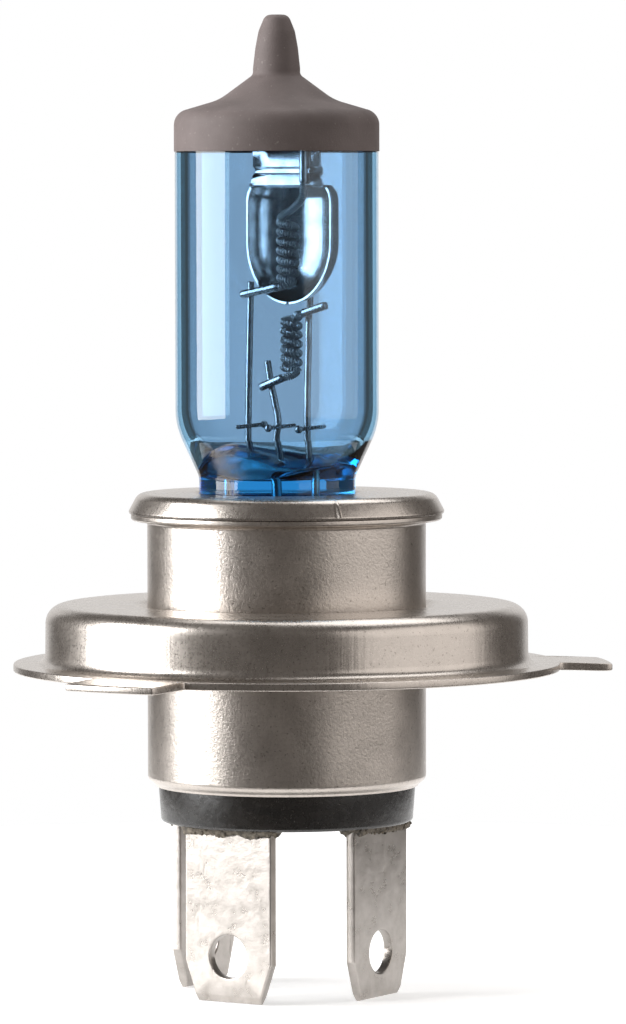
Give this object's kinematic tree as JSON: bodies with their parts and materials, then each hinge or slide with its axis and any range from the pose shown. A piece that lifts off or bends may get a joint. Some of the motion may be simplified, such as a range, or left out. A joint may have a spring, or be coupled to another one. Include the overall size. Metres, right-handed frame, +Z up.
{
  "type": "headlight bulb",
  "caption": "Two-filament headlight bulb with blue glass, a coated tip, a beam shield, a lugged focusing ring and blade terminals.",
  "frame": {"origin": "centre of the insulator's underside, where the plug seats", "axes": "+Z up the reference axis to the glass tip; -Y towards the wide reference lug"},
  "size_m": [0.0436, 0.0471, 0.0768],
  "materials": {
    "nickel_steel": "satin nickel-plated sheet, fine grain",
    "tinned_brass": "bright tin-plated brass, lightly mottled",
    "black_moulding": "semi-gloss moulded thermoset",
    "brown_cement": "rough brown sealing compound",
    "blue_glass": "clear, deep blue tint",
    "tip_coating": "matte warm grey opaque coating",
    "molybdenum": "drawn wire and rolled sheet",
    "tungsten": "dull grey coiled wire"
  },
  "bodies": {
    "root": {"focus_ring": "nickel_steel", "base_shell": "nickel_steel", "collar_plate": "nickel_steel", "pinch_clip": "nickel_steel", "insulator": "black_moulding", "front_blade": "tinned_brass", "left_blade": "tinned_brass", "right_blade": "tinned_brass", "front_root_seal": "brown_cement", "left_root_seal": "brown_cement", "right_root_seal": "brown_cement", "glass_envelope": "blue_glass", "tip_coating": "tip_coating", "beam_shield": "molybdenum", "low_beam_filament": "tungsten", "high_beam_filament": "tungsten", "left_foil": "molybdenum", "left_inner_lead": "molybdenum", "left_outer_lead": "molybdenum", "left_cross_pin": "molybdenum", "middle_foil": "molybdenum", "middle_inner_lead": "molybdenum", "middle_outer_lead": "molybdenum", "middle_cross_pin": "molybdenum", "right_foil": "molybdenum", "right_inner_lead": "molybdenum", "right_outer_lead": "molybdenum", "right_cross_pin": "molybdenum", "low_lower_crimp": "molybdenum", "low_upper_crimp": "molybdenum", "high_upper_crimp": "molybdenum", "high_lower_crimp": "molybdenum"}
  },
  "joints": []
}
